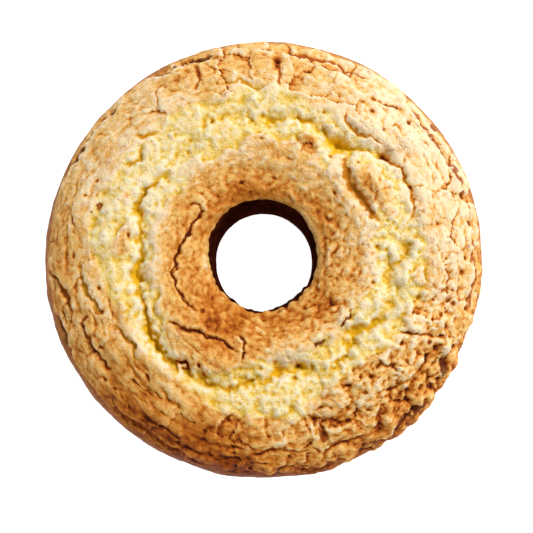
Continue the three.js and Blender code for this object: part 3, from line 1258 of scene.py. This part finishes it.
@dataclass
class CrumbRelief:
    """A node tree that raises the fine relief: curds and pores in the crumb, wrinkles on the crust."""

    curd_spacing: float = 2.6
    curd_height: float = 0.31
    wrinkle_spacing: float = 2.4
    wrinkle_height: float = 0.14
    seed: float = 7.0

    def tree(self, crust: bpy.types.Material, wall: bpy.types.Material) -> bpy.types.NodeTree:
        """Builds the geometry tree.

        Args:
            crust: The finish that the tree sets on the whole skin.
            wall: The finish of the hole's wall.

        Returns:
            A tree with named inputs for its sizes and its seed.
        """
        tree = bpy.data.node_groups.new("crumb_relief", "GeometryNodeTree")
        face = tree.interface
        face.new_socket("Geometry", in_out="INPUT", socket_type="NodeSocketGeometry")
        for name in ("Curd Spacing", "Curd Height", "Wrinkle Spacing", "Wrinkle Height", "Seed"):
            face.new_socket(name, in_out="INPUT", socket_type="NodeSocketFloat")
        face.new_socket("Geometry", in_out="OUTPUT", socket_type="NodeSocketGeometry")
        given = add_node(tree, "NodeGroupInput").outputs
        here = add_node(tree, "GeometryNodeInputPosition")
        facing = add_node(tree, "GeometryNodeInputNormal")
        crumb, tin, bore = (
            add_node(tree, "GeometryNodeInputNamedAttribute", {"Name": name}, data_type="FLOAT")
            for name in ("crumb", "tin", "bore")
        )
        shift = add_node(tree, "CombineXYZ", {0: given["Seed"]})
        place = add_node(tree, "VectorMath", {0: here, 1: shift}, operation="ADD")

        # how high the curds and the wrinkles stand, about -1 to 1
        curd_scale, pore_scale, wrinkle_scale = (
            add_node(tree, "Math", {0: share, 1: given[spacing]}, operation="DIVIDE")
            for share, spacing in ((1.0, "Curd Spacing"), (0.8, "Curd Spacing"), (1.0, "Wrinkle Spacing"))
        )
        curd = add_node(tree, "TexNoise", {
            "Vector": place, "Scale": curd_scale, "Detail": 2.0, "Roughness": 0.6,
        }).outputs["Fac"]
        pore = add_node(tree, "TexVoronoi", {"Vector": place, "Scale": pore_scale})
        wrinkle = add_node(tree, "TexNoise", {
            "Vector": place, "Scale": wrinkle_scale, "Detail": 3.0, "Roughness": 0.6, "Distortion": 0.6,
        }).outputs["Fac"]
        pore = add_node(tree, "Math", {0: pore.outputs["Distance"], 1: -1.95}, operation="ADD")
        curds = add_node(tree, "Math", {0: curd, 1: 3.0, 2: pore}, operation="MULTIPLY_ADD")
        wrinkles = add_node(tree, "Math", {0: wrinkle, 1: 3.0, 2: -1.5}, operation="MULTIPLY_ADD")

        # curds only in the crumb, wrinkles only on the crust and fainter where the tin touched it
        smooth_side = add_node(tree, "Math", {0: tin, 1: bore}, operation="MAXIMUM")
        baked = add_node(tree, "Math", {0: smooth_side, 1: -0.7, 2: 1.0}, operation="MULTIPLY_ADD")
        whole = add_node(tree, "Math", {0: 1.0, 1: crumb}, operation="SUBTRACT")
        parts = []
        for source, shares in ((curds, (crumb,)), (wrinkles, (whole, baked))):
            for share in shares:
                source = add_node(tree, "Math", {0: source, 1: share}, operation="MULTIPLY")
            parts.append(source)
        raised = add_node(tree, "Math", {0: parts[0], 1: given["Curd Height"]}, operation="MULTIPLY")
        raised = add_node(tree, "Math", {
            0: parts[1], 1: given["Wrinkle Height"], 2: raised,
        }, operation="MULTIPLY_ADD")
        height = add_node(tree, "SeparateXYZ", {0: here}).outputs["Z"]
        above = add_node(tree, "MapRange", {0: height, 1: 0.001, 2: 0.004})
        raised = add_node(tree, "Math", {0: raised, 1: above}, operation="MULTIPLY")
        offset = add_node(tree, "VectorMath", {0: facing, "Scale": raised}, operation="SCALE")

        moved = add_node(tree, "GeometryNodeSetPosition", {"Geometry": given["Geometry"], "Offset": offset})
        rounded = add_node(tree, "GeometryNodeSetShadeSmooth", {0: moved})
        real = add_node(tree, "GeometryNodeRealizeInstances", {0: rounded})
        dressed = add_node(tree, "GeometryNodeSetMaterial", {0: real, "Material": crust})
        inside = add_node(tree, "Math", {0: bore, 1: 0.5}, operation="GREATER_THAN")
        dressed = add_node(tree, "GeometryNodeSetMaterial", {
            0: dressed, "Selection": inside, "Material": wall,
        })
        add_node(tree, "NodeGroupOutput", {0: dressed})
        return tree

    def apply(self, piece: bpy.types.Object, crust: bpy.types.Material, wall: bpy.types.Material) -> None:
        """Runs the tree on a piece and keeps the result as the piece's plain mesh.

        Args:
            piece: The object that carries the cake's values.
            crust: The finish that the tree sets on it.
            wall: The finish of the hole's wall.
        """
        modifier = piece.modifiers.new("crumb_relief", "NODES")
        tree = self.tree(crust, wall)
        sizes = {
            "Curd Spacing": self.curd_spacing * MM, "Curd Height": self.curd_height * MM,
            "Wrinkle Spacing": self.wrinkle_spacing * MM, "Wrinkle Height": self.wrinkle_height * MM,
            "Seed": self.seed,
        }
        modifier.node_group = tree
        for socket in tree.interface.items_tree:
            if socket.in_out == "INPUT" and socket.name in sizes:
                modifier[socket.identifier] = sizes[socket.name]
        graph = bpy.context.evaluated_depsgraph_get()
        plain = bpy.data.meshes.new_from_object(piece.evaluated_get(graph), depsgraph=graph)
        piece.modifiers.remove(modifier)
        rough = piece.data
        piece.data = plain
        plain.name = piece.name
        bpy.data.meshes.remove(rough)


@dataclass
class RingCake:
    """The cake itself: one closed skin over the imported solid."""

    low: Vector
    high: Vector
    ring_step: int = 48  # every ring's count of points is a multiple of this
    side_room: float = 0.4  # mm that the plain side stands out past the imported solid
    crown_room: float = 1.4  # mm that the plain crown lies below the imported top
    relief: CrumbRelief = field(default_factory=CrumbRelief)
    finish: BakedCake = field(default_factory=BakedCake)
    wall: BoreWall = field(default_factory=BoreWall)

    def build(self) -> bpy.types.Object:
        """Makes the closed skin, torn and wrinkled.

        Returns:
            The object, in metres, at the origin.
        """
        section = CakeSection(
            outer_radius=(self.high.x - self.low.x) / (2 * MM) + self.side_room,
            crown_height=self.high.z / MM - self.crown_room,
        )
        places, facings, rings = [], [], []
        for radius, height, outward, upward in section.rings():
            step = section.step_at(radius, height)
            count = self.ring_step * max(2, round(2 * math.pi * radius / (self.ring_step * step)))
            turn = np.arange(count) * (2 * math.pi / count)
            rings.append(sum(len(part) for part in places) + np.arange(count))
            for rows, out, up in ((places, radius, height), (facings, outward, upward)):
                rows.append(np.stack([out * np.cos(turn), out * np.sin(turn), np.full_like(turn, up)], 1))
        points, facing = np.concatenate(places), np.concatenate(facings)
        values = TornCrown(section).shape(points)
        away = points[:, :2] / np.linalg.norm(points[:, :2], axis=1, keepdims=True)
        points = points + facing * values.pop("height")[:, None]
        points[:, :2] += away * values.pop("lean")[:, None]
        points[:, 2] = np.maximum(points[:, 2], 0)
        mesh = bpy.data.meshes.new(NODE + "_skin")
        mesh.from_pydata((points * MM).tolist(), [], stitch(rings))
        for name, numbers in values.items():
            mesh.attributes.new(name, "FLOAT", "POINT").data.foreach_set("value", numbers.astype(np.float32))
        mesh.update()
        piece = bpy.data.objects.new(NODE + "_skin", mesh)
        bpy.context.scene.collection.objects.link(piece)
        return piece

    @staticmethod
    def tell_dips(piece: bpy.types.Object) -> None:
        """Stores how far each point lies below the skin around it, in mm.

        The finish reads "dip" for what is within about 1.5 mm and "hollow" for about 4 mm, and from
        them paints shade into what lies low and highlight on what stands up.

        Args:
            piece: The object with its final shape.
        """
        mesh = piece.data
        points = np.empty(len(mesh.vertices) * 3)
        mesh.vertices.foreach_get("co", points)
        facing = np.empty(len(mesh.vertices) * 3)
        mesh.vertex_normals.foreach_get("vector", facing)
        points, facing = points.reshape(-1, 3) / MM, facing.reshape(-1, 3)
        ends = np.empty(len(mesh.edges) * 2, dtype=np.int32)
        mesh.edges.foreach_get("vertices", ends)
        one, other = ends.reshape(-1, 2).T
        count = len(points)
        shares = (np.bincount(one, minlength=count) + np.bincount(other, minlength=count))[:, None]
        around = np.concatenate([points, facing], axis=1)
        for turn in range(1, max(DIP_TURNS.values()) + 1):
            near = np.stack([
                np.bincount(one, around[other, k], count) + np.bincount(other, around[one, k], count)
                for k in range(6)
            ], axis=1)
            around = 0.4 * around + 0.6 * near / shares
            for name in (name for name, turns in DIP_TURNS.items() if turns == turn):
                out = around[:, 3:] / np.linalg.norm(around[:, 3:], axis=1, keepdims=True)
                values = np.sum((around[:, :3] - points) * out, axis=1).astype(np.float32)
                mesh.attributes.new(name, "FLOAT", "POINT").data.foreach_set("value", values)

    def dress(self, piece: bpy.types.Object) -> None:
        """Raises the fine relief and gives the skin its finish and its place in the frame.

        Args:
            piece: The object from build.
        """
        self.relief.apply(piece, self.finish.material(), self.wall.material())
        self.tell_dips(piece)
        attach(piece, BODY)
        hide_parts(NODE)


@dataclass
class Studio:
    """A pale floor, soft light from high on the right, and the camera nearly overhead."""

    centre: Vector
    floor_size: float = 6.0
    floor_colour: str = "#C8C7C5"
    floor_glow: float = 0.95
    key_place: tuple[float, float, float] = (0.72, 0.62, 1.06)  # m from the cake's middle
    key_size: float = 0.34
    key_power: float = 17.9
    key_colour: tuple[float, float, float] = (1.0, 0.98, 1.0)
    surround: float = 0.48
    aim: tuple[float, float, float] = (0.0025, -0.0075, 0.0175)  # m from the cake's middle
    distance: float = 0.433
    elevation: float = 84.1
    heading: float = 7.0
    lens: float = 54.7

    def build(self) -> None:
        """Makes the floor, the lights and the camera."""
        self.floor()
        self.lights()
        self.camera()

    def floor(self) -> None:
        """Lays the floor at the height the cake stands on."""
        half = self.floor_size / 2
        mesh = bpy.data.meshes.new("studio_floor")
        corners = [(-half, -half, 0), (half, -half, 0), (half, half, 0), (-half, half, 0)]
        mesh.from_pydata(corners, [], [(0, 1, 2, 3)])
        floor = bpy.data.objects.new("studio_floor", mesh)
        floor.location.z = -0.0002
        bpy.context.scene.collection.objects.link(floor)
        material = bpy.data.materials.new("white_paper_sweep")
        material.use_nodes = True
        shader = material.node_tree.nodes["Principled BSDF"]
        shader.inputs["Base Color"].default_value = linear(self.floor_colour)
        shader.inputs["Roughness"].default_value = 0.9
        shader.inputs["Emission Color"].default_value = linear("#FFFFFF")
        shader.inputs["Emission Strength"].default_value = self.floor_glow
        mesh.materials.append(material)

    def lights(self) -> None:
        """Sets a broad key from the upper right and an even white surround."""
        key = bpy.data.lights.new("key", "AREA")
        key.shape = "DISK"
        key.size = self.key_size
        key.energy = self.key_power
        key.color = self.key_colour
        lamp = bpy.data.objects.new("key", key)
        lamp.location = self.centre + Vector(self.key_place)
        lamp.rotation_euler = (self.centre - lamp.location).to_track_quat("-Z", "Y").to_euler()
        bpy.context.scene.collection.objects.link(lamp)
        world = bpy.data.worlds.new("studio")
        world.use_nodes = True
        glow = world.node_tree.nodes["Background"].inputs
        glow["Color"].default_value = (1, 1, 1, 1)
        glow["Strength"].default_value = self.surround
        bpy.context.scene.world = world
        bpy.context.scene.view_settings.view_transform = "Standard"

    def camera(self) -> None:
        """Looks down on the cake from a little towards -Y."""
        up, round_ = math.radians(self.elevation), math.radians(self.heading)
        back = Vector((math.sin(round_) * math.cos(up), -math.cos(round_) * math.cos(up), math.sin(up)))
        target = self.centre + Vector(self.aim)
        right = (-back).cross(Vector((0, 1, 0))).normalized()
        over = right.cross(-back).normalized()
        camera = bpy.data.cameras.new("camera")
        camera.lens = self.lens
        camera.clip_start = 0.01
        holder = bpy.data.objects.new("camera", camera)
        turned = Matrix((right, over, back)).transposed().to_4x4()
        holder.matrix_world = Matrix.Translation(target + back * self.distance) @ turned
        bpy.context.scene.collection.objects.link(holder)
        bpy.context.scene.camera = holder


def main() -> None:
    """Builds the cake and the studio."""
    logging.basicConfig(level=logging.INFO, format="%(name)s: %(message)s")
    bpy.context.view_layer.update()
    low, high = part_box(NODE)
    cake = RingCake(low, high)
    piece = cake.build()
    cake.dress(piece)
    LOG.info("%s: %d points, %d faces", piece.name, len(piece.data.vertices), len(piece.data.polygons))
    Studio((low + high) / 2).build()
    LOG.info("studio: floor, lights and camera")


if __name__ == "__main__":
    main()
